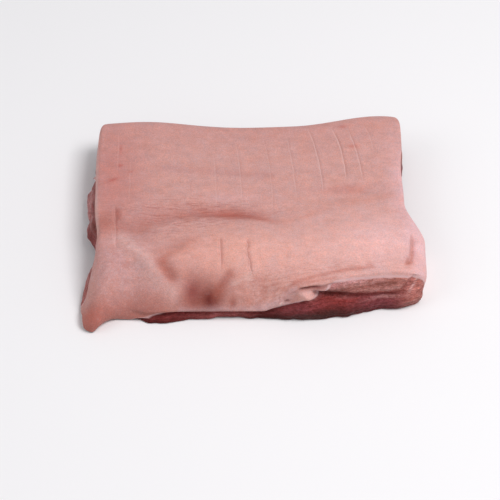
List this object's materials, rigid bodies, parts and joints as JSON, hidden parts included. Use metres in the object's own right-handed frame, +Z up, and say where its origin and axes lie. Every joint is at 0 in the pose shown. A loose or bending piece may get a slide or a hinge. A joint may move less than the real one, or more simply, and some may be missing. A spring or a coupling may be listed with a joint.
{
  "type": "pork belly slab",
  "caption": "Thick slab of raw pork belly lying rind side up, with a soft roll along the front right and a rind lobe at the front left.",
  "frame": {"origin": "centre of the bounding box in plan, on the table that the slab lies on", "axes": "+X along the slab's long side, to the right as seen in the picture; +Y to the back edge of the rind; +Z up, out of the rind"},
  "size_m": [0.3208, 0.2412, 0.0506],
  "materials": {
    "raw_pork": "moist pink rind, satin"
  },
  "bodies": {
    "root": {"pork_belly": "raw_pork"}
  },
  "joints": []
}
